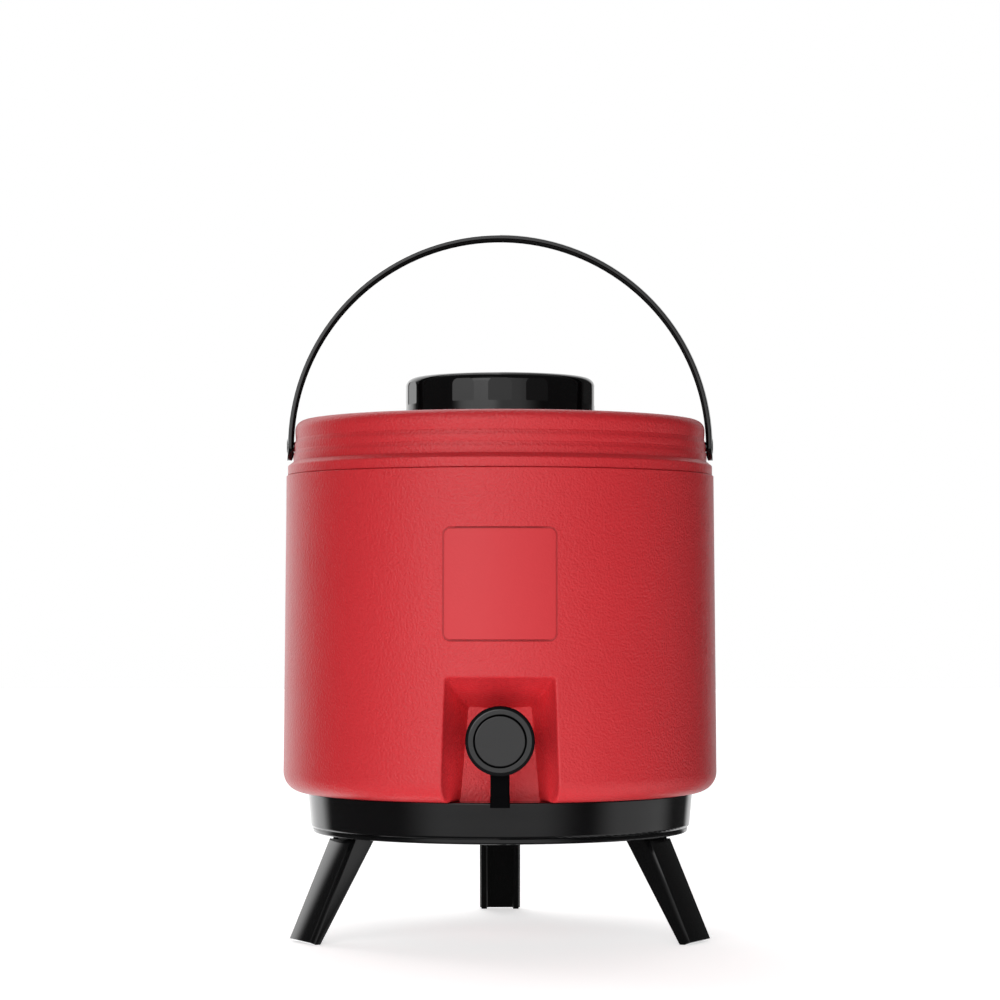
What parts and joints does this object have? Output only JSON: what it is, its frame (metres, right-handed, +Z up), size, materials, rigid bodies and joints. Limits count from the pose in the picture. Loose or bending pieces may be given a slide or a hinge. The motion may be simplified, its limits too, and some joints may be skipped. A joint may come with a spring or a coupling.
{
  "type": "insulated water jug",
  "caption": "Round insulated drinks jug with a screw lid, a bail handle, a push-button tap in a front niche and folding legs under a base ring.",
  "frame": {"origin": "on the floor, under the middle of the jug's bounding box, which is its vertical axis", "axes": "+Z up along the jug's axis, the tap faces -Y, the handle's pivots are on the X axis direction"},
  "size_m": [0.3048, 0.3167, 0.4916],
  "materials": {
    "red_shell": "satin",
    "black_gloss": "gloss",
    "black_handle": "satin",
    "white_liner": "satin",
    "foam": "matte",
    "soft_seal": "matte",
    "black_tap": "satin",
    "steel": "satin"
  },
  "bodies": {
    "jug": {"outer_shell": "red_shell", "shell_top": "red_shell", "foam_insulation": "foam", "inner_liner": "white_liner", "foam_plug": "black_gloss", "base_ring": "black_gloss", "base_screws": "steel", "leg_pins": "steel", "handle_pins": "black_handle", "tap_body": "black_tap", "tap_outer_washer": "soft_seal", "tap_inner_washer": "soft_seal", "tap_nut": "white_liner", "tap_bezel": "black_tap", "tap_stem_ring": "soft_seal", "tap_spring": "steel"},
    "handle": {"carry_handle": "black_handle"},
    "lid_seal": {"lid_gasket": "soft_seal"},
    "lid": {"lid_cap": "black_gloss", "lid_inner_cover": "white_liner", "lid_foam": "foam"},
    "button": {"tap_button": "black_tap", "tap_stem": "white_liner", "tap_seal": "soft_seal"},
    "rear_leg": {"leg_rear": "black_gloss"},
    "left_leg": {"leg_left": "black_gloss"},
    "right_leg": {"leg_right": "black_gloss"}
  },
  "joints": [
    {"name": "handle_swing", "type": "hinge", "parent": "jug", "child": "handle", "pos_m": [0, 0, 0.341], "axis": [1, 0, 0], "range_deg": [-90, 90]},
    {"name": "lid_lift", "type": "slide", "parent": "jug", "child": "lid_seal", "axis": [0, 0, 1], "range_m": [0, 0.07]},
    {"name": "lid_turn", "type": "hinge", "parent": "lid_seal", "child": "lid", "pos_m": [0, 0, 0.375], "axis": [0, 0, 1], "range_deg": [0, 540]},
    {"name": "button_press", "type": "slide", "parent": "jug", "child": "button", "axis": [0, 1, 0], "range_m": [0, 0.004], "stiffness_N_per_m": 700, "springref_m": -0.003, "deforming": ["tap_spring"]},
    {"name": "rear_leg_fold", "type": "hinge", "parent": "jug", "child": "rear_leg", "pos_m": [0, 0.1098, 0.081], "axis": [-1, 0, 0], "range_deg": [0, 114.5]},
    {"name": "left_leg_fold", "type": "hinge", "parent": "jug", "child": "left_leg", "pos_m": [-0.09509, -0.0549, 0.081], "axis": [0.5, -0.866, 0], "range_deg": [0, 114.5]},
    {"name": "right_leg_fold", "type": "hinge", "parent": "jug", "child": "right_leg", "pos_m": [0.09509, -0.0549, 0.081], "axis": [0.5, 0.866, 0], "range_deg": [0, 114.5]}
  ]
}
